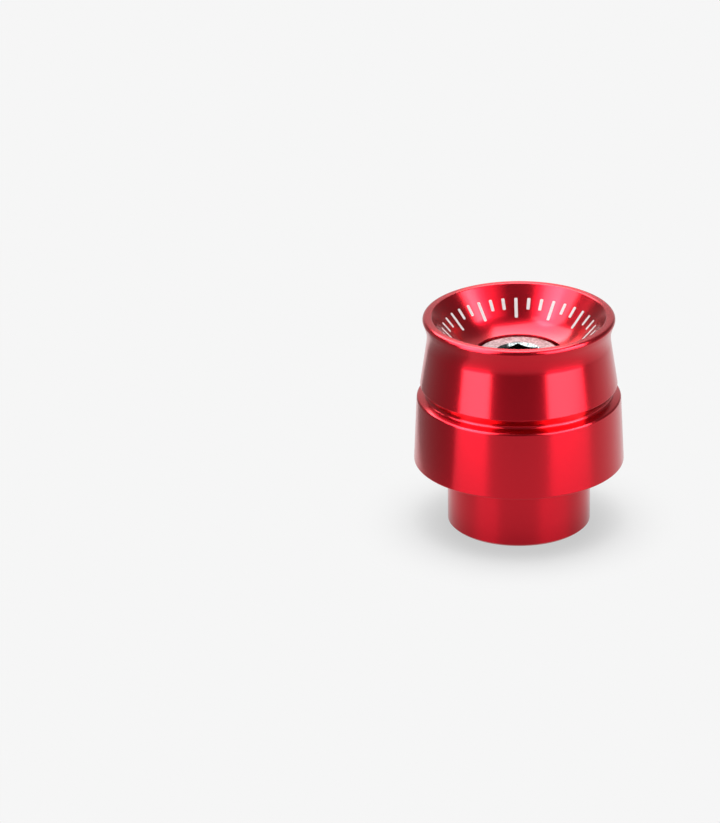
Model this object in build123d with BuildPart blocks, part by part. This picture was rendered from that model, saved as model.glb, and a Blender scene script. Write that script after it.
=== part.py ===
from build123d import *
from math import atan2, cos, pi, radians, tan
import os

# Bar end weight for a motorcycle handlebar of 22 mm: a turned aluminium body, bolted to the bar by
# one socket screw whose head is sunk in the middle of a dished face.
# It stands on the end of its spigot. The origin is the centre of that end face, and +Z runs along
# the axis of turning towards the dished face. Sizes are in millimetres, angles in degrees.

# Spigot, which takes the handlebar's diameter and butts against its end
spigot_diameter = 22.0
spigot_length = 10.2
spigot_chamfer = 0.3
spigot_root_radius = 0.2

# Band, the widest stretch, which carries on the line of the grip and narrows a little outwards
band_foot_diameter = 32.35
band_top_diameter = 31.35
band_length = 10.5
band_foot_radius = 0.2
band_top_radius = 0.8

# Groove between the band and the barrel, a V with a round root; the depth of the V is taken from the
# lower of its two edges, before its root is rounded
groove_vee_depth = 1.17
groove_width = 2.0
groove_root_radius = 1.0

# Barrel, a cone that narrows to a waist and then flares to the lip
barrel_foot_diameter = 30.25
barrel_length = 11.0
barrel_taper = 8.7
barrel_foot_radius = 0.15
flare_length = 2.3
flare_angle = 19.5
flare_radius = 5.5

# Lip round the face
lip_width = 1.35
rim_land = 0.6
rim_land_radius = 0.1
rim_outer_radius = 0.55
rim_inner_radius = 0.3

# Dish, a conical wall that blends into a gently sloping floor round the counterbore
dish_depth = 5.8
dish_floor_width = 2.0
dish_floor_angle = 15.0
dish_blend_radius = 6.0

# Screw, M8 x 16 with a hexagon socket in a cylindrical head
screw_diameter = 8.0
screw_length = 16.0
screw_tip_chamfer = 0.7
head_diameter = 13.0
head_height = 8.0
head_edge_radius = 0.75
head_root_radius = 0.3
hex_sides = 6
hex_across_flats = 6.0
hex_depth = 4.0
hex_mouth_margin = 0.136
hex_mouth_angle = 45.0
hex_drill_angle = 30.0
hex_turn = 30.0

# Seat of the screw in the body
counterbore_clearance = 0.2
head_sink = 0.1
bore_clearance = 0.5
bore_mouth_chamfer = 0.5

# Share of a straight side that the rounding of one corner may use up
usable_side = 0.98

# Heights above the spigot's end face
band_foot_z = spigot_length
band_top_z = band_foot_z + band_length
groove_vee_z = band_top_z + groove_width / 2
barrel_foot_z = band_top_z + groove_width
face_z = barrel_foot_z + barrel_length
rim_foot_z = face_z - rim_land
waist_z = rim_foot_z - flare_length
dish_edge_z = face_z - dish_depth
dish_corner_z = dish_edge_z + dish_floor_width * tan(radians(dish_floor_angle))
head_face_z = dish_edge_z - head_sink
seat_z = head_face_z - head_height
hex_floor_z = head_face_z - hex_depth
screw_tip_z = seat_z - screw_length

# Radii from the axis
spigot_r = spigot_diameter / 2
band_foot_r = band_foot_diameter / 2
band_top_r = band_top_diameter / 2
barrel_foot_r = barrel_foot_diameter / 2
groove_vee_r = min(band_top_r, barrel_foot_r) - groove_vee_depth
waist_r = barrel_foot_r - (waist_z - barrel_foot_z) * tan(radians(barrel_taper))
rim_r = waist_r + flare_length * tan(radians(flare_angle))
dish_mouth_r = rim_r - lip_width
screw_r = screw_diameter / 2
head_r = head_diameter / 2
counterbore_r = head_r + counterbore_clearance
dish_corner_r = counterbore_r + dish_floor_width
bore_r = screw_r + bore_clearance


def roundings(section):
    """Radius of each corner, held to what its two sides can take beside the roundings at their ends."""
    points = [Vector(*point) for point, _ in section]
    reaches = []
    for i, (_, radius) in enumerate(section):
        towards, away = points[i] - points[i - 1], points[(i + 1) % len(section)] - points[i]
        turn = abs((atan2(away.Y, away.X) - atan2(towards.Y, towards.X) + pi) % (2 * pi) - pi)
        reaches.append(radius * tan(turn / 2))
    held = []
    for i, (_, radius) in enumerate(section):
        share = 1.0
        for j in (i - 1, (i + 1) % len(section)):
            room = usable_side * (points[j] - points[i]).length
            if radius and reaches[i] + reaches[j] > room:
                share = min(share, room / (reaches[i] + reaches[j]))
        held.append(radius * share)
    return held


# The body: its half section is turned about Z, then the two edges of its end face are chamfered
section = [
    ((bore_r, 0), 0),
    ((spigot_r, 0), 0),
    ((spigot_r, band_foot_z), spigot_root_radius),
    ((band_foot_r, band_foot_z), band_foot_radius),
    ((band_top_r, band_top_z), band_top_radius),
    ((groove_vee_r, groove_vee_z), groove_root_radius),
    ((barrel_foot_r, barrel_foot_z), barrel_foot_radius),
    ((waist_r, waist_z), flare_radius),
    ((rim_r, rim_foot_z), rim_land_radius),
    ((rim_r, face_z), rim_outer_radius),
    ((dish_mouth_r, face_z), rim_inner_radius),
    ((dish_corner_r, dish_corner_z), dish_blend_radius),
    ((counterbore_r, dish_edge_z), 0),
    ((counterbore_r, seat_z), 0),
    ((bore_r, seat_z), 0),
]

with BuildPart() as weight_body:
    with BuildSketch(Plane.XZ):
        with BuildLine():
            FilletPolyline(*[point for point, _ in section], radius=roundings(section), close=True)
        make_face()
    revolve(axis=Axis.Z)
    end_edges = weight_body.edges().filter_by_position(Axis.Z, 0, 0).sort_by(SortBy.RADIUS)
    chamfer(end_edges[0], length=bore_mouth_chamfer)
    chamfer(end_edges[-1], length=spigot_chamfer)

weight_body.part.label = "weight_body"

# The screw: head and shank are turned, then the socket is broached into the head
hex_r = hex_across_flats / 2
hex_mouth_r = hex_r / cos(pi / hex_sides) + hex_mouth_margin
hex_mouth_depth = hex_mouth_r * tan(radians(hex_mouth_angle))
hex_drill_depth = hex_r * tan(radians(hex_drill_angle))

with BuildPart() as socket_screw:
    with BuildSketch(Plane.XY.offset(screw_tip_z)):
        Circle(screw_r)
    extrude(amount=screw_length)
    with BuildSketch(Plane.XY.offset(seat_z)):
        Circle(head_r)
    extrude(amount=head_height)
    tip_edge = socket_screw.edges().filter_by_position(Axis.Z, screw_tip_z, screw_tip_z)
    chamfer(tip_edge, length=screw_tip_chamfer)
    root_edge = socket_screw.edges().filter_by_position(Axis.Z, seat_z, seat_z).sort_by(SortBy.RADIUS)[0]
    fillet(root_edge, radius=head_root_radius)
    head_edge = socket_screw.edges().filter_by_position(Axis.Z, head_face_z, head_face_z)
    fillet(head_edge, radius=head_edge_radius)
    with BuildSketch(Plane.XY.offset(head_face_z)):
        RegularPolygon(hex_r, side_count=hex_sides, major_radius=False, rotation=hex_turn)
    extrude(amount=-hex_depth, mode=Mode.SUBTRACT)
    with BuildSketch(Plane.XZ):
        Polygon((0, head_face_z), (hex_mouth_r, head_face_z), (0, head_face_z - hex_mouth_depth), align=None)
        Polygon((0, hex_floor_z), (hex_r, hex_floor_z), (0, hex_floor_z - hex_drill_depth), align=None)
    revolve(axis=Axis.Z, mode=Mode.SUBTRACT)

socket_screw.part.label = "socket_screw"

os.makedirs("parts", exist_ok=True)
export_step(weight_body.part, "parts/weight_body.step")
export_step(socket_screw.part, "parts/socket_screw.step")
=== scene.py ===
# %% [markdown]
# # A bar end weight, dressed for its picture
# The part comes from the CAD as a fixed frame: a turned body and a socket screw, standing on the
# body's spigot. This script keeps their sizes and places, and models both again as finely as a
# close picture needs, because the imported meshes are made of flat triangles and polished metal
# shows every one of them.

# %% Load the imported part
import math

import bpy
from mathutils import Matrix, Vector


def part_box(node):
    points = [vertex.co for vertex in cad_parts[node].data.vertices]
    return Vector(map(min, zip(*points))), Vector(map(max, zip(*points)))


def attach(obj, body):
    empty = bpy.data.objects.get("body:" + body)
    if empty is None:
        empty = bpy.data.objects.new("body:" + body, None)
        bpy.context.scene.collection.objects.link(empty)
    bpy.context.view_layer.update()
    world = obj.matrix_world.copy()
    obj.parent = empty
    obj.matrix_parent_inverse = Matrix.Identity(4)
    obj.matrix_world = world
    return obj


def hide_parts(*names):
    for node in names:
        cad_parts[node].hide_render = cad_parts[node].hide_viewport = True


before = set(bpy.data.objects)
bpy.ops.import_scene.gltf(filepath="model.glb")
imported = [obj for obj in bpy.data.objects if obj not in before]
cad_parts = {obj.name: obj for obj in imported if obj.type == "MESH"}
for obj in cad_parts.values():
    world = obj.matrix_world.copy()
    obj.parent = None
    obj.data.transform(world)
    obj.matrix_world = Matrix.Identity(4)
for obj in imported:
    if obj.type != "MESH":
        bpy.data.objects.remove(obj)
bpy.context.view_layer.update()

# %% [markdown]
# ## Units and colours
# Blender works in metres, the drawing of the part is in millimetres. Colours are written as the
# hex codes a painter's program shows, and one function turns them into the linear light that a
# shader counts in. A second function adds one shader node with its settings and links, because
# every finish below is a chain of such nodes.

# %% Two small helpers
MM = 0.001


def colour(code):
    """Linear RGBA for an sRGB hex code."""
    parts = [int(code[i : i + 2], 16) / 255 for i in (1, 3, 5)]
    return [p / 12.92 if p <= 0.04045 else ((p + 0.055) / 1.055) ** 2.4 for p in parts] + [1.0]


def node(tree, kind, inputs=None, **settings):
    """One shader node with its settings. An input is a value, or an output socket to link."""
    made = tree.nodes.new(kind)
    for name, value in settings.items():
        setattr(made, name, value)
    for name, value in (inputs or {}).items():
        if isinstance(value, bpy.types.NodeSocket):
            tree.links.new(value, made.inputs[name])
        else:
            made.inputs[name].default_value = value
    return made


print("the grey #808080 is", round(colour("#808080")[0], 3), "in linear light")

# %% [markdown]
# ## The camera
# The picture is taken from a little over half a metre away with a long lens, looking down by 23
# degrees. The weight stands to the right in the picture. A shift of the lens could put it there,
# but other views would keep the shift, so the camera is moved to the left instead and looks
# straight past it.

# %% Camera
CAMERA_AT = (-24.40, -630.33, 289.25)
LOOK_DOWN = 23.268
CAMERA_ROLL = -0.8975
FOCAL_LENGTH, SENSOR_WIDTH = 195.37, 36.0

camera_data = bpy.data.cameras.new("camera")
camera_data.lens = FOCAL_LENGTH
camera_data.sensor_width = SENSOR_WIDTH
camera = bpy.data.objects.new("camera", camera_data)
bpy.context.scene.collection.objects.link(camera)
camera.matrix_world = (
    Matrix.Translation(Vector(CAMERA_AT) * MM)
    @ Matrix.Rotation(math.radians(90 - LOOK_DOWN), 4, "X")
    @ Matrix.Rotation(math.radians(CAMERA_ROLL), 4, "Z")
)
bpy.context.scene.camera = camera
print("camera at", CAMERA_AT, "mm, lens", FOCAL_LENGTH, "mm")

# %% [markdown]
# ## Drawing a half section and turning it
# Both pieces are made on a lathe, so both are modelled as a lathe makes them: the outline of one
# half is drawn as a chain of points, and the chain is spun once round the axis. A plane that is
# merged to a single point is the pencil. Extrude draws a straight run, and spin with a short angle
# draws the arc of a rounded corner with its real radius, which a bevel of the corner would only
# come near.

# %% How finely the lathe works
ARC_STEP = 7.0  # degrees of a rounded corner to a facet
TURN_STEPS = 240  # facets round a whole turn
SAME_POINT = 0.001  # points nearer than this, in mm, are merged
NO_LENGTH = 1e-5  # runs shorter than this, in mm, aren't drawn


def deselect():
    """Operators act on all that is selected, so each piece starts from nothing selected."""
    if bpy.context.object and bpy.context.object.mode != "OBJECT":
        bpy.ops.object.mode_set(mode="OBJECT")
    bpy.ops.object.select_all(action="DESELECT")


print("an arc has a facet every", ARC_STEP, "degrees, a turn has", TURN_STEPS)


# %% The pencil
def pencil_to(here, there):
    """Draws a straight run from here to there, both (radius, height) in mm."""
    if (there - here).length > NO_LENGTH:
        step = (there - here) * MM
        bpy.ops.mesh.extrude_vertices_move(TRANSFORM_OT_translate={"value": (step.x, 0, step.y)})
    return there


def pencil_round(before, corner, after, radius):
    """Where the rounding of a corner starts, its centre, and the angle that spin turns it by."""
    towards, away = (corner - before).normalized(), (after - corner).normalized()
    turn = math.acos(max(-1.0, min(1.0, towards.dot(away))))
    inner = (away - towards * towards.dot(away)).normalized()
    start = corner - towards * radius * math.tan(turn / 2)
    centre = start + inner * radius
    side = 1 if towards.x * away.y - towards.y * away.x > 0 else -1
    return start, centre, side * turn


# %% The turning
def turned(name, corners, closed, turn_steps=TURN_STEPS):
    """A turned piece from the (radius, height, rounding) of the corners of its half section."""
    deselect()
    points = [Vector((r, z)) for r, z, _ in corners]
    bpy.ops.mesh.primitive_plane_add(size=MM, location=(0, 0, 0))
    piece = bpy.context.object
    piece.name = name
    bpy.ops.object.mode_set(mode="EDIT")
    bpy.ops.mesh.select_all(action="SELECT")
    bpy.ops.mesh.merge(type="CENTER")
    bpy.ops.transform.translate(value=(points[0].x * MM, 0, points[0].y * MM))
    here = points[0]
    ends = points[1:] + ([points[0]] if closed else [])
    for i, point in enumerate(ends):
        rounding = corners[(i + 1) % len(corners)][2]
        if rounding and i + 1 < len(ends):
            start, centre, turn = pencil_round(here, point, ends[i + 1], rounding)
            pencil_to(here, start)
            steps = max(2, round(abs(math.degrees(turn)) / ARC_STEP))
            bpy.ops.mesh.spin(
                steps=steps, angle=turn, center=(centre.x * MM, 0, centre.y * MM), axis=(0, 1, 0)
            )
            away = (ends[i + 1] - point).normalized()
            here = point + away * rounding * math.tan(abs(turn) / 2)
        else:
            here = pencil_to(here, point)
    bpy.ops.mesh.select_all(action="SELECT")
    bpy.ops.mesh.remove_doubles(threshold=SAME_POINT * MM)
    bpy.ops.mesh.spin(steps=turn_steps, angle=2 * math.pi, center=(0, 0, 0), axis=(0, 0, 1))
    bpy.ops.mesh.select_all(action="SELECT")
    bpy.ops.mesh.remove_doubles(threshold=SAME_POINT * MM)
    bpy.ops.mesh.normals_make_consistent(inside=False)
    bpy.ops.object.mode_set(mode="OBJECT")
    return piece


# %% [markdown]
# ## Shading and measuring a piece
# Turned metal is smooth round its axis and has crisp edges. Smooth shading by angle gives both.
# Left at that, a flat stretch would seem to bulge beside each narrow rounding, which a mirror shows
# at once. More facets would hide it at a great cost. The Weighted Normal modifier lets the large
# faces rule the shading instead, so flat stretches mirror as flat metal does.

# %% Shade and measure
FACE_WEIGHT = 90


def finish_shading(piece, angle=28):
    """Smooth shading that breaks at real edges and keeps flat stretches flat beside roundings."""
    deselect()
    piece.select_set(True)
    bpy.context.view_layer.objects.active = piece
    bpy.ops.object.shade_smooth_by_angle(angle=math.radians(angle))
    weighted = piece.modifiers.new("weighted", "WEIGHTED_NORMAL")
    weighted.keep_sharp = True
    weighted.weight = FACE_WEIGHT
    bpy.ops.object.modifier_apply(modifier=weighted.name)


def report(piece, node_name):
    """Prints a piece's size beside that of the CAD node that it stands for."""
    low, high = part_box(node_name)
    corners = [Vector(c) for c in piece.bound_box]
    mine = [pick(c[i] for c in corners) for pick in (min, max) for i in range(3)]
    print(piece.name, "faces", len(piece.data.polygons), "box", [round(1000 * x, 3) for x in mine])
    print("  CAD node", node_name, [round(1000 * x, 3) for x in (*low, *high)])


print("shading: large faces weigh", FACE_WEIGHT, "of 100")

# %% [markdown]
# ## The body
# A bar of aluminium turned to a plain spigot, a tapered band, a narrow V groove, a tapered barrel
# that flares out to a thin lip, and a dished face with a counterbore for the screw's head. It could
# be stacked from cones and bevelled, but one outline keeps each rounding at its real radius. The
# corners are listed in the order in which the section is walked round: along the outside upwards,
# over the lip, down the dish and the counterbore, and back down the bore. The groove is as sharp as
# a pointed tool leaves it, because its thin dark lines come from that.

# %% Turn the body
FACE, DISH_MOUTH_R, DISH_CORNER = 33.7, 13.35, (8.7, 28.4359)
BODY_SECTION = [
    (5.0, 0.0, 0),  # mouth of the bore, chamfered
    (10.7, 0.0, 0),  # end of the spigot, chamfered
    (11.0, 0.3, 0),
    (11.0, 10.2, 0.2),  # root of the spigot
    (16.175, 10.2, 0.2),  # foot of the band
    (15.675, 20.7, 0.38),  # top of the band
    (14.1, 21.2, 0.42),  # root of the groove
    (15.125, 22.7, 0.15),  # foot of the barrel
    (13.8855, 30.8, 5.5),  # waist
    (14.6999, 33.1, 0.1),  # foot of the lip
    (14.6999, FACE, 0.55),  # the lip's outer edge
    (DISH_MOUTH_R, FACE, 0.3),  # the lip's inner edge
    (*DISH_CORNER, 6.0),  # blend from the dish's wall into its floor
    (6.7, 27.9, 0),  # mouth of the counterbore
    (6.7, 19.8, 0),  # seat of the screw's head
    (4.5, 19.8, 0),  # bore
    (4.5, 0.5, 0),
]
body = turned("turned_body", BODY_SECTION, closed=True)
finish_shading(body)
report(body, "weight_body")

# %% [markdown]
# ## The screw's blank
# A cap screw starts as a headed blank: a cylinder for the head and a thinner one for the shank,
# with a cone at the tip so that the thread starts easily. Two cylinders could be joined for it, but
# the outline gives the head's round edge and the small radius under it at once, so it is turned
# in the same way.

# %% Turn the blank
HEAD_FACE, SEAT, TIP = 27.8, 19.8, 3.8
HEAD_R, MAJOR_R = 6.5, 4.0
TIP_CHAMFER = 0.7
SCREW_STEPS = 144
SCREW_SECTION = [
    (0.0, TIP, 0),
    (MAJOR_R - TIP_CHAMFER, TIP, 0),
    (MAJOR_R, TIP + TIP_CHAMFER, 0),
    (MAJOR_R, SEAT, 0.3),
    (HEAD_R, SEAT, 0.05),
    (HEAD_R, HEAD_FACE, 0.75),
    (0.0, HEAD_FACE, 0),
]
screw = turned("threaded_screw", SCREW_SECTION, closed=False, turn_steps=SCREW_STEPS)
report(screw, "socket_screw")

# %% [markdown]
# ## The thread
# A die cuts one V-shaped groove that winds up the shank. A bump pattern could suggest it, but the
# tip can be seen up the bore, where only real flanks look right. So the groove is a solid of its
# own, a four-cornered outline that the Screw modifier winds round the axis by one pitch a turn, and
# is then taken off the blank. An M8 screw has a pitch of 1.25 mm and a 60 degree V, 0.61 of the
# pitch deep and 7/8 of it wide at the outside.

# %% Sizes of the thread
PITCH = 1.25
OVER = 0.05  # how far the cutting solid stands out of the shank
THREAD_DEPTH = 0.6134 * PITCH
GROOVE_HALF = 7 / 16 * PITCH
THREAD_START, THREAD_TURNS = TIP - PITCH, 13
WINDING_STEPS = 72
FLANK_SLOPE = math.tan(math.radians(30))
print("thread: pitch", PITCH, "mm, depth", round(THREAD_DEPTH, 3), "mm")


# %% Take a tool's shape off a piece
def cut(piece, tool):
    """Takes the tool's shape off the piece and clears the tool away."""
    deselect()
    piece.select_set(True)
    bpy.context.view_layer.objects.active = piece
    modifier = piece.modifiers.new("cut", "BOOLEAN")
    modifier.operation, modifier.object, modifier.solver = "DIFFERENCE", tool, "EXACT"
    bpy.ops.object.modifier_apply(modifier=modifier.name)
    bpy.data.objects.remove(tool)


# %% Draw the groove's outline
deselect()
bpy.ops.mesh.primitive_plane_add(size=MM, location=(0, 0, 0))
die = bpy.context.object
bpy.ops.object.mode_set(mode="EDIT")
bpy.ops.mesh.delete(type="ONLY_FACE")
bpy.ops.object.mode_set(mode="OBJECT")
root_half = GROOVE_HALF - THREAD_DEPTH * FLANK_SLOPE
mouth_half = GROOVE_HALF + OVER * FLANK_SLOPE

# A plane's corners aren't stored in their order round it, so its edges are followed.
ring = list(die.data.edges[0].vertices)
while len(ring) < 4:
    ring.append(
        next(
            w
            for e in die.data.edges
            for v, w in (tuple(e.vertices), tuple(e.vertices)[::-1])
            if v == ring[-1] and w not in ring
        )
    )
outline = [
    (MAJOR_R - THREAD_DEPTH, -root_half),
    (MAJOR_R - THREAD_DEPTH, root_half),
    (MAJOR_R + OVER, mouth_half),
    (MAJOR_R + OVER, -mouth_half),
]
for vertex, (r, z) in zip(ring, outline):
    die.data.vertices[vertex].co = (r * MM, 0, (THREAD_START + z) * MM)
print("outline of the groove in mm:", [(round(r, 3), round(z, 3)) for r, z in outline])

# %% Wind the groove and cut it
winding = die.modifiers.new("winding", "SCREW")
winding.screw_offset = PITCH * MM
winding.iterations = THREAD_TURNS
winding.steps = winding.render_steps = WINDING_STEPS
winding.use_merge_vertices = False
bpy.ops.object.modifier_apply(modifier=winding.name)
bpy.ops.object.mode_set(mode="EDIT")
bpy.ops.mesh.select_all(action="SELECT")
bpy.ops.mesh.fill_holes(sides=4)
bpy.ops.mesh.normals_make_consistent(inside=False)
bpy.ops.object.mode_set(mode="OBJECT")
cut(screw, die)
print("thread cut, faces", len(screw.data.polygons))

# %% [markdown]
# ## The socket
# The hexagon socket is drilled, countersunk and then pushed out to six sides with a broach. Faces
# could be inset and pushed down by hand, but a hexagon on a round face leaves thin slivers. So each
# tool is a primitive of its own, placed where the real tool would stop, and is taken off the head.
# The drill's point and the countersink both slope at 30 degrees.

# %% The drill and the countersink
HEX_ACROSS, HEX_DEPTH = 6.0, 4.0
MOUTH_R = 3.6
CLEAR = 0.6  # how far the tools stand out of the head
CONE_STEPS = 96
POINT_SLOPE = math.tan(math.radians(30))


def pointed_tool(radius, depth, top):
    """A cone that stands on its point, with its flat side at the height top."""
    deselect()
    bpy.ops.mesh.primitive_cone_add(
        vertices=CONE_STEPS,
        radius1=0,
        radius2=radius * MM,
        depth=depth * MM,
        location=(0, 0, (top - depth / 2) * MM),
    )
    bpy.ops.object.transform_apply(location=True)
    return bpy.context.object


drill = pointed_tool(HEX_ACROSS / 2, HEX_ACROSS / 2 * POINT_SLOPE, HEAD_FACE - HEX_DEPTH)
sink_depth = MOUTH_R * POINT_SLOPE + CLEAR
countersink = pointed_tool(sink_depth / POINT_SLOPE, sink_depth, HEAD_FACE + CLEAR)
print("countersink:", MOUTH_R, "mm in radius at the face")

# %% Broach, and cut all three
deselect()
bpy.ops.mesh.primitive_cylinder_add(
    vertices=6,
    radius=HEX_ACROSS / 2 / math.cos(math.pi / 6) * MM,
    depth=(HEX_DEPTH + CLEAR) * MM,
    location=(0, 0, (HEAD_FACE + (CLEAR - HEX_DEPTH) / 2) * MM),
)
broach = bpy.context.object
bpy.ops.object.transform_apply(location=True)
for tool in (broach, countersink, drill):
    cut(screw, tool)
finish_shading(screw, angle=25)
report(screw, "socket_screw")

# %% [markdown]
# ## The marks in the dish
# The dished face carries a plain graduated ring, burnt into the red layer by a laser: a long mark
# every thirty degrees with two short ones between. A mask in the material could paint it, but
# strips have crisp ends at any size and stay when the model is exported. Three of them are modelled
# just above the dish and laid on its curved wall by Shrinkwrap, in the mode that lifts each point
# along the wall's smooth normal, so that none sinks into the red. The set is then copied round the
# axis by spin, which can duplicate instead of joining.

# %% One mark
MARK_OUTER_R, LONG_INNER_R, SHORT_INNER_R = 11.6, 9.45, 10.35
WALL_SLOPE = (FACE - DISH_CORNER[1]) / (DISH_MOUTH_R - DISH_CORNER[0])
MARK_WIDTH, MARK_LIFT, MARK_THICK = 0.5, 0.015, 0.016
MARK_ROUNDING, MARK_CUTS = 0.12, 10
MARK_DROP = 0.3  # height above the wall from which a mark is laid
MARK_SETS, MARKS_IN_SET = 12, 3


def mark(inner_r, turn):
    """One strip above the dish's wall, from inner_r to the common outer radius."""
    deselect()
    length = MARK_OUTER_R - inner_r
    bpy.ops.mesh.primitive_plane_add(size=1, location=(0, 0, 0))
    strip = bpy.context.object
    bpy.ops.object.mode_set(mode="EDIT")
    bpy.ops.transform.resize(value=(length * MM, MARK_WIDTH * MM, 1))
    bpy.ops.mesh.bevel(offset=MARK_ROUNDING * MM, segments=3, affect="VERTICES")
    bpy.ops.mesh.select_all(action="SELECT")
    bpy.ops.transform.translate(value=((inner_r + length / 2) * MM, 0, 0))
    for cut_at in range(1, MARK_CUTS):
        x = (inner_r + length * cut_at / MARK_CUTS) * MM
        bpy.ops.mesh.select_all(action="SELECT")
        bpy.ops.mesh.bisect(plane_co=(x, 0, 0), plane_no=(1, 0, 0))
    bpy.ops.object.mode_set(mode="OBJECT")
    for vertex in strip.data.vertices:
        vertex.co.z = (FACE + MARK_DROP - (DISH_MOUTH_R - vertex.co.x / MM) * WALL_SLOPE) * MM
    bpy.ops.object.mode_set(mode="EDIT")
    bpy.ops.mesh.select_all(action="SELECT")
    bpy.ops.transform.rotate(value=-turn, orient_axis="Z", center_override=(0, 0, 0))
    bpy.ops.object.mode_set(mode="OBJECT")
    return strip


print("the dish's wall slopes at", round(math.degrees(math.atan(WALL_SLOPE)), 1), "degrees")

# %% Lay a set of marks on the wall
strips = [
    mark(SHORT_INNER_R if i else LONG_INNER_R, math.radians(360 / MARK_SETS / MARKS_IN_SET * i))
    for i in range(MARKS_IN_SET)
]
deselect()
for strip in strips:
    strip.select_set(True)
bpy.context.view_layer.objects.active = strips[0]
bpy.ops.object.join()
marks = bpy.context.object
marks.name = "index_marks"
wrap = marks.modifiers.new("wrap", "SHRINKWRAP")
wrap.target, wrap.wrap_method, wrap.wrap_mode = body, "NEAREST_SURFACEPOINT", "ABOVE_SURFACE"
wrap.offset = MARK_LIFT * MM
bpy.ops.object.modifier_apply(modifier=wrap.name)
thick = marks.modifiers.new("thick", "SOLIDIFY")
thick.thickness, thick.offset = MARK_THICK * MM, 0
bpy.ops.object.modifier_apply(modifier=thick.name)
print("one set:", len(marks.data.polygons), "faces")

# %% Copy the set round the axis
bpy.ops.object.mode_set(mode="EDIT")
bpy.ops.mesh.select_all(action="SELECT")
bpy.ops.mesh.normals_make_consistent(inside=False)
bpy.ops.mesh.spin(
    steps=MARK_SETS - 1,
    angle=2 * math.pi * (MARK_SETS - 1) / MARK_SETS,
    center=(0, 0, 0),
    axis=(0, 0, 1),
    dupli=True,
)
bpy.ops.object.mode_set(mode="OBJECT")
print("marks:", len(marks.data.polygons), "faces")

# %% [markdown]
# ## Red anodised aluminium
# Anodising grows a clear, hard layer on the turned metal and dyes it, so the metal itself shines
# through in red, and a little white light comes off the layer's own surface: to the eye it is a
# deep red mirror with a faint pale veil. A red metal with a thin coat gives both. The turning
# leaves fine rings that spread a highlight along the axis but not round it: that is anisotropy,
# with the tangent running round the axis. The rings of a finishing cut lie about 0.1 mm apart,
# which is too fine to show here, so they are drawn 0.22 mm apart, and very shallow.

# %% The rings that turning leaves
ANODISED_RED = "#BC1022"
ANODISED_ROUGHNESS, VEIL, VEIL_ROUGHNESS = 0.24, 0.28, 0.15
TURNING_LINES, LINE_DEPTH = 0.22, 0.0004

anodised = bpy.data.materials.new("anodised_aluminium")
anodised.use_nodes = True
tree = anodised.node_tree
tree.nodes.clear()
place = node(tree, "ShaderNodeTexCoord")
across = node(
    tree, "ShaderNodeVectorMath", {0: place.outputs["Object"], 1: (1, 1, 0)}, operation="MULTIPLY"
)
radius = node(tree, "ShaderNodeVectorMath", {0: across.outputs[0]}, operation="LENGTH")
height = node(tree, "ShaderNodeSeparateXYZ", {0: place.outputs["Object"]})
rings = node(tree, "ShaderNodeCombineXYZ", {0: radius.outputs["Value"], 1: height.outputs["Z"]})
lines = node(
    tree,
    "ShaderNodeTexNoise",
    {
        "Vector": rings.outputs[0],
        "Scale": 1 / (TURNING_LINES * MM),
        "Detail": 2.0,
        "Roughness": 0.6,
    },
    noise_dimensions="2D",
)
bump = node(
    tree,
    "ShaderNodeBump",
    {"Height": lines.outputs[0], "Distance": LINE_DEPTH * MM, "Strength": 1.0},
)
print("turning rings", TURNING_LINES, "mm apart")

# %% Anodised aluminium
around = node(tree, "ShaderNodeTangent", direction_type="RADIAL", axis="Z")
metal = node(
    tree,
    "ShaderNodeBsdfPrincipled",
    {
        "Base Color": colour(ANODISED_RED),
        "Metallic": 1.0,
        "Roughness": ANODISED_ROUGHNESS,
        "Anisotropic": 0.8,
        "Anisotropic Rotation": 0.25,
        "Coat Weight": VEIL,
        "Coat Roughness": VEIL_ROUGHNESS,
        "Normal": bump.outputs[0],
        "Tangent": around.outputs[0],
    },
)
node(tree, "ShaderNodeOutputMaterial", {"Surface": metal.outputs[0]})
body.data.materials.clear()
body.data.materials.append(anodised)
print(anodised.name, "on", body.name)

# %% [markdown]
# ## Stainless steel
# The screw is cold headed from stainless wire and tumbled. Its face is satin, and the tumbling
# leaves pale and dark scuffs on it, which a fine noise mixes from two greys and lifts a little. The
# punch leaves the socket and its countersunk mouth smoother, so they are glossy, and the socket is
# coloured a darker, browner grey than the face. One material does both, and tells them apart by the
# distance from the axis and by the height.

# %% Scuffs, and where the socket is
STEEL_DARK, STEEL_PALE, SOCKET_BROWN = "#525A5A", "#838C8C", "#625C57"
TUMBLED_GRAIN, SCUFF_DEPTH = 0.35, 0.006
FACE_ROUGHNESS, SOCKET_ROUGHNESS = 0.38, 0.14
SOCKET_R, SOCKET_MIDDLE, SOCKET_HALF = 3.5, HEAD_FACE - 2.7, 2.15
SMOOTH_TO_R, SATIN_FROM_R = 3.45, 3.75

steel = bpy.data.materials.new("stainless_steel")
steel.use_nodes = True
tree = steel.node_tree
tree.nodes.clear()
place = node(tree, "ShaderNodeTexCoord")
across = node(
    tree, "ShaderNodeVectorMath", {0: place.outputs["Object"], 1: (1, 1, 0)}, operation="MULTIPLY"
)
radius = node(tree, "ShaderNodeVectorMath", {0: across.outputs[0]}, operation="LENGTH")
height = node(tree, "ShaderNodeSeparateXYZ", {0: place.outputs["Object"]})
grain = node(
    tree,
    "ShaderNodeTexNoise",
    {
        "Vector": place.outputs["Object"],
        "Scale": 1 / (TUMBLED_GRAIN * MM),
        "Detail": 3.0,
        "Roughness": 0.55,
    },
)
bump = node(
    tree,
    "ShaderNodeBump",
    {"Height": grain.outputs[0], "Distance": SCUFF_DEPTH * MM, "Strength": 1.0},
)
within = node(
    tree,
    "ShaderNodeMath",
    {0: radius.outputs["Value"], 1: SOCKET_R * MM},
    operation="LESS_THAN",
)
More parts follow.
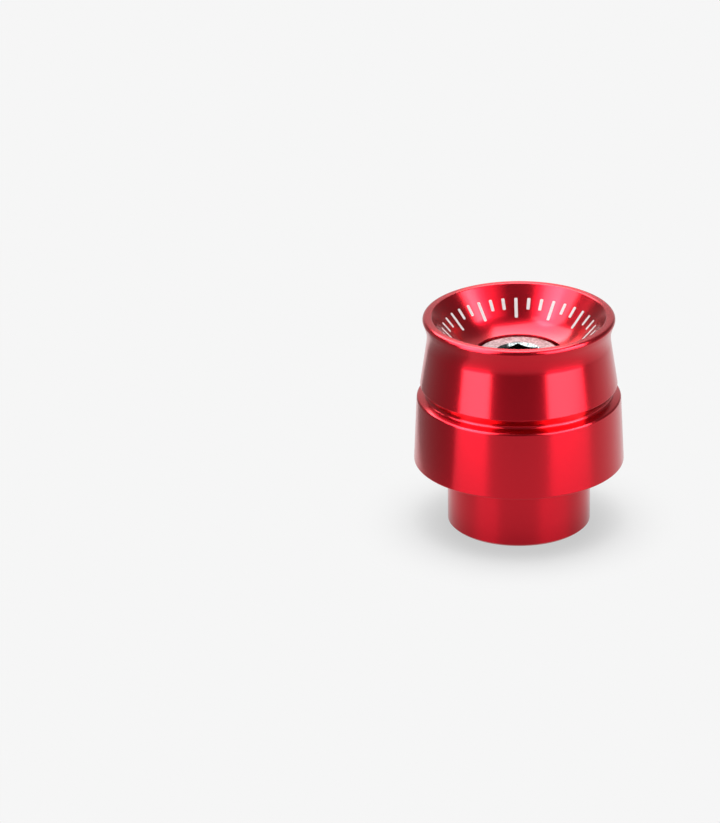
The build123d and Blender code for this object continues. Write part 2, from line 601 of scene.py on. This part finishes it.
beneath = node(
    tree,
    "ShaderNodeMath",
    {0: height.outputs["Z"], 1: SOCKET_MIDDLE * MM, 2: SOCKET_HALF * MM},
    operation="COMPARE",
)
socket = node(
    tree,
    "ShaderNodeMath",
    {0: within.outputs[0], 1: beneath.outputs[0]},
    operation="MULTIPLY",
)
print("scuffs", TUMBLED_GRAIN, "mm across")

# %% Stainless steel
scuffs = node(
    tree,
    "ShaderNodeMapRange",
    {"Value": grain.outputs[0], "From Min": 0.4, "From Max": 0.6},
)
satin = node(
    tree,
    "ShaderNodeMix",
    {"Factor": scuffs.outputs[0], 6: colour(STEEL_DARK), 7: colour(STEEL_PALE)},
    data_type="RGBA",
)
tint = node(
    tree,
    "ShaderNodeMix",
    {"Factor": socket.outputs[0], 6: satin.outputs[2], 7: colour(SOCKET_BROWN)},
    data_type="RGBA",
)
polish = node(
    tree,
    "ShaderNodeMapRange",
    {
        "Value": radius.outputs["Value"],
        "From Min": SMOOTH_TO_R * MM,
        "From Max": SATIN_FROM_R * MM,
        "To Min": SOCKET_ROUGHNESS,
        "To Max": FACE_ROUGHNESS,
    },
)
metal = node(
    tree,
    "ShaderNodeBsdfPrincipled",
    {
        "Base Color": tint.outputs[2],
        "Metallic": 1.0,
        "Roughness": polish.outputs[0],
        "Normal": bump.outputs[0],
    },
)
node(tree, "ShaderNodeOutputMaterial", {"Surface": metal.outputs[0]})
screw.data.materials.clear()
screw.data.materials.append(steel)
print(steel.name, "on", screw.name)

# %% [markdown]
# ## Laser marking
# Where the laser bleaches the dyed layer it turns to a matt, chalky white with a trace of the
# beam's hatching, and a little pink is left between the beam's lines. The real lines are finer than
# the picture can show, so they are drawn 0.16 mm apart. A Wave texture repeats every pi / 10 at a
# scale of one, which gives the scale for that.

# %% Laser marking
MARK_WHITE, HATCH_PINK = "#EAE5E5", "#DDCFCF"
HATCH_PITCH, HATCH_DEPTH = 0.16, 0.004

bleached = bpy.data.materials.new("laser_bleached_layer")
bleached.use_nodes = True
tree = bleached.node_tree
tree.nodes.clear()
place = node(tree, "ShaderNodeTexCoord")
hatch = node(
    tree,
    "ShaderNodeTexWave",
    {
        "Vector": place.outputs["Object"],
        "Scale": math.pi / 10 / (HATCH_PITCH * MM),
        "Distortion": 0.6,
    },
    bands_direction="DIAGONAL",
)
burnt = node(
    tree,
    "ShaderNodeMix",
    {"Factor": hatch.outputs["Fac"], 6: colour(MARK_WHITE), 7: colour(HATCH_PINK)},
    data_type="RGBA",
)
relief = node(
    tree,
    "ShaderNodeBump",
    {"Height": hatch.outputs["Fac"], "Distance": HATCH_DEPTH * MM, "Strength": 1.0},
)
chalk = node(
    tree,
    "ShaderNodeBsdfPrincipled",
    {"Base Color": burnt.outputs[2], "Roughness": 0.6, "Normal": relief.outputs[0]},
)
node(tree, "ShaderNodeOutputMaterial", {"Surface": chalk.outputs[0]})
marks.data.materials.append(bleached)
print(bleached.name, "on", marks.name)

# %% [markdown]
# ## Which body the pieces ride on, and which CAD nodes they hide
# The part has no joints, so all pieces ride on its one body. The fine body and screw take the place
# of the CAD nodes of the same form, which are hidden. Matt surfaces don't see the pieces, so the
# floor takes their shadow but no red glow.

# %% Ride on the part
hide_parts("weight_body")
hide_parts("socket_screw")
for piece in (body, screw, marks):
    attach(piece, "root")
    piece.visible_diffuse = False
    print(piece.name, "rides on root")

# %% [markdown]
# ## The floor
# A plain pale table. It fades into the background at its edge, so that no edge shows and the metal
# sees it only near by, as it would a small photographer's table. For the camera the paper is bare
# white past the shadow at the part's foot, as in a picture that is exposed for a white page. It has
# an upper side only, so that the part can be looked at from below, and it lies a hundredth of a
# millimetre under the part's foot, because two faces in one plane flicker.

# %% Floor
PAPER = "#F6F6F6"
TABLE_R, FADE_FROM = 160.0, 95.0
SHADOW_R, SHADOW_END_R = 14.0, 27.0
TABLE_GAP = 0.01

deselect()
bpy.ops.mesh.primitive_circle_add(
    vertices=128, radius=TABLE_R * MM, fill_type="NGON", location=(0, 0, -TABLE_GAP * MM)
)
floor = bpy.context.object
floor.name = "floor"
print("floor of", 2 * TABLE_R, "mm")

# %% Paper
paper = bpy.data.materials.new("paper")
paper.use_nodes = True
tree = paper.node_tree
tree.nodes.clear()
place = node(tree, "ShaderNodeTexCoord")
away = node(tree, "ShaderNodeVectorMath", {0: place.outputs["Object"]}, operation="LENGTH")
fade = node(
    tree,
    "ShaderNodeMapRange",
    {"Value": away.outputs["Value"], "From Min": FADE_FROM * MM, "From Max": TABLE_R * MM},
    interpolation_type="SMOOTHSTEP",
)
path = node(tree, "ShaderNodeLightPath")
past_shadow = node(
    tree,
    "ShaderNodeMapRange",
    {"Value": away.outputs["Value"], "From Min": SHADOW_R * MM, "From Max": SHADOW_END_R * MM},
    interpolation_type="SMOOTHSTEP",
)
to_page = node(
    tree,
    "ShaderNodeMath",
    {0: past_shadow.outputs[0], 1: path.outputs["Is Camera Ray"]},
    operation="MULTIPLY",
)
matt = node(tree, "ShaderNodeBsdfDiffuse", {"Color": colour(PAPER)})
page = node(tree, "ShaderNodeEmission", {"Color": colour(PAPER), "Strength": 1.0})
sheet = node(
    tree,
    "ShaderNodeMixShader",
    {0: to_page.outputs[0], 1: matt.outputs[0], 2: page.outputs[0]},
)
ghost = node(tree, "ShaderNodeBsdfTransparent")
side = node(tree, "ShaderNodeNewGeometry")
open_at = node(
    tree, "ShaderNodeMath", {0: fade.outputs[0], 1: side.outputs["Backfacing"]}, operation="MAXIMUM"
)
mixed = node(
    tree,
    "ShaderNodeMixShader",
    {0: open_at.outputs[0], 1: sheet.outputs[0], 2: ghost.outputs[0]},
)
node(tree, "ShaderNodeOutputMaterial", {"Surface": mixed.outputs[0]})
floor.data.materials.append(paper)
print("bare paper from", SHADOW_END_R, "mm on")

# %% [markdown]
# ## A glowing drum beside the part, a painted dark reflection
# Polished metal has no look of its own, it shows its surroundings, and its left side in the picture
# is dark. A flat sheet would do it for one height only, so a low drum lies there, a little way off,
# which only mirrors can see. No lamp lights it: it glows an even grey, standing in for a second
# weight that lies there, and is a painted reflection of the shade on the floor round that weight.

# %% Glowing dark drum
PAINTED_REFLECTION_GREY = "#9E9E9E"
CARD_R, CARD_LENGTH = 15.0, 42.0
CARD_AT = (-42.0, 5.0, 13.0)

deselect()
bpy.ops.mesh.primitive_cylinder_add(
    vertices=64,
    radius=CARD_R * MM,
    depth=CARD_LENGTH * MM,
    location=[c * MM for c in CARD_AT],
    rotation=(math.radians(90), 0, 0),
)
card = bpy.context.object
card.name = "dark_glow_drum"
bpy.ops.object.transform_apply(location=True, rotation=True)
shade = bpy.data.materials.new("painted_dark_reflection")
shade.use_nodes = True
tree = shade.node_tree
tree.nodes.clear()
# The drum glows an even grey of its own, lit by no lamp: a painted dark reflection.
painted_glow = node(tree, "ShaderNodeEmission", {"Color": colour(PAINTED_REFLECTION_GREY), "Strength": 1.0})
node(tree, "ShaderNodeOutputMaterial", {"Surface": painted_glow.outputs[0]})
card.data.materials.append(shade)
card.visible_camera = card.visible_diffuse = card.visible_shadow = False
print("card of radius", CARD_R, "mm at", CARD_AT)

# %% [markdown]
# ## Background and ambient light
# The background is pale for the camera. Metal sees the room itself: a pale backdrop straight
# behind the part, pale too low down at the sides and behind, where the table ends, and a grey room
# elsewhere. A picture of a room would do this too, but three soft limits are plainer and need no
# file. Matt surfaces get an even part of their light from all round.

# %% Where the room is pale
AMBIENT = 0.55
ROOM_GREY = "#8A8A8A"
BACKDROP_GREY = "#DCDCDC"
SCREEN_FROM, SCREEN_FULL = 0.8, 0.95  # Y of the bearing, where 1 is straight behind
SIDES_FROM, SIDES_FULL = -0.25, 0.3  # Y of the direction, where 0 is at the sides
LOW_FULL, LOW_END = -0.05, 0.08  # Z of the direction, where 0 is the horizon

world = bpy.data.worlds.new("studio")
world.use_nodes = True
world.cycles.sampling_method = "NONE"
bpy.context.scene.world = world
tree = world.node_tree
tree.nodes.clear()
place = node(tree, "ShaderNodeTexCoord")
way = node(tree, "ShaderNodeSeparateXYZ", {0: place.outputs["Generated"]})
level = node(
    tree,
    "ShaderNodeVectorMath",
    {0: place.outputs["Generated"], 1: (1, 1, 0)},
    operation="MULTIPLY",
)
bearing = node(tree, "ShaderNodeVectorMath", {0: level.outputs[0]}, operation="NORMALIZE")
turned_to = node(tree, "ShaderNodeSeparateXYZ", {0: bearing.outputs[0]})
screen = node(
    tree,
    "ShaderNodeMapRange",
    {"Value": turned_to.outputs["Y"], "From Min": SCREEN_FROM, "From Max": SCREEN_FULL},
    interpolation_type="SMOOTHSTEP",
)
sides = node(
    tree,
    "ShaderNodeMapRange",
    {"Value": way.outputs["Y"], "From Min": SIDES_FROM, "From Max": SIDES_FULL},
    interpolation_type="SMOOTHSTEP",
)
low_down = node(
    tree,
    "ShaderNodeMapRange",
    {
        "Value": way.outputs["Z"],
        "From Min": LOW_FULL,
        "From Max": LOW_END,
        "To Min": 1.0,
        "To Max": 0.0,
    },
    interpolation_type="SMOOTHSTEP",
)
table_end = node(
    tree, "ShaderNodeMath", {0: sides.outputs[0], 1: low_down.outputs[0]}, operation="MULTIPLY"
)
pale = node(
    tree,
    "ShaderNodeMath",
    {0: screen.outputs[0], 1: table_end.outputs[0]},
    operation="MAXIMUM",
)
print("room", ROOM_GREY, "and pale", BACKDROP_GREY)

# %% World
path = node(tree, "ShaderNodeLightPath")
room = node(tree, "ShaderNodeBackground", {"Color": colour(ROOM_GREY), "Strength": 1.0})
backdrop = node(tree, "ShaderNodeBackground", {"Color": colour(BACKDROP_GREY), "Strength": 1.0})
page = node(tree, "ShaderNodeBackground", {"Color": colour(PAPER), "Strength": 1.0})
ambient = node(tree, "ShaderNodeBackground", {"Color": (1, 1, 1, 1), "Strength": AMBIENT})
seen = node(
    tree,
    "ShaderNodeMixShader",
    {0: pale.outputs[0], 1: room.outputs[0], 2: backdrop.outputs[0]},
)
view = node(
    tree,
    "ShaderNodeMixShader",
    {0: path.outputs["Is Camera Ray"], 1: seen.outputs[0], 2: page.outputs[0]},
)
lit = node(
    tree,
    "ShaderNodeMixShader",
    {0: path.outputs["Is Diffuse Ray"], 1: view.outputs[0], 2: ambient.outputs[0]},
)
node(tree, "ShaderNodeOutputWorld", {"Surface": lit.outputs[0]})
print("ambient light", AMBIENT)

# %% [markdown]
# ## Lamps
# Two tall softboxes stand left and right in front of the part, two smaller ones hang higher up at
# its sides, and a large one hangs over it, behind to the left. They are what the red metal mirrors,
# and they shine on mirrors only. Lamps that lit all surfaces would have to be far weaker, or the
# paper would burn out. Matt surfaces get their light from one wide soft lamp overhead, at a level
# where paper renders as paper.

# %% Softboxes
GLOW = 7.0
AIM_HEIGHT = 20.0


def softbox(name, azimuth, elevation, distance, width, height, glow):
    """An area lamp that faces the part, in metres. Azimuth 0 is the camera's side, 90 the right."""
    lamp = bpy.data.lights.new(name, "AREA")
    lamp.shape, lamp.size, lamp.size_y = "RECTANGLE", width, height
    lamp.energy = glow * math.pi * width * height
    holder = bpy.data.objects.new(name, lamp)
    bpy.context.scene.collection.objects.link(holder)
    a, e = math.radians(azimuth), math.radians(elevation)
    back = Vector((math.sin(a) * math.cos(e), -math.cos(a) * math.cos(e), math.sin(e)))
    holder.location = back * distance + Vector((0, 0, AIM_HEIGHT * MM))
    holder.rotation_mode = "QUATERNION"
    holder.rotation_quaternion = back.to_track_quat("Z", "Y")
    holder.visible_camera = holder.visible_diffuse = False
    return holder


softbox("softbox_left", -54, 22, 0.6, 0.44, 0.75, GLOW)
softbox("softbox_left_high", -82, 50, 0.6, 0.34, 0.48, GLOW)
softbox("softbox_right", 55, 21, 0.6, 0.59, 0.70, GLOW)
softbox("softbox_right_high", 76, 40, 0.6, 0.32, 0.20, GLOW)
softbox("softbox_over", -157, 61, 0.7, 0.70, 0.70, GLOW)
print("five softboxes of radiance", GLOW)

# %% Key light
KEY_LEAN = 9
KEY_SOFTNESS = 60
KEY_STRENGTH = (1 - AMBIENT) * math.pi / math.cos(math.radians(KEY_LEAN))
key = bpy.data.lights.new("key", "SUN")
key.angle, key.energy = math.radians(KEY_SOFTNESS), KEY_STRENGTH
key_holder = bpy.data.objects.new("key", key)
bpy.context.scene.collection.objects.link(key_holder)
key_holder.rotation_euler = (-math.radians(KEY_LEAN), 0, 0)
key_holder.visible_glossy = False
print("key light of", round(KEY_STRENGTH, 3))

# %% [markdown]
# The Standard view shows a colour as it is written. The pieces may not outgrow the part that they
# dress.

bpy.context.scene.view_settings.view_transform = "Standard"
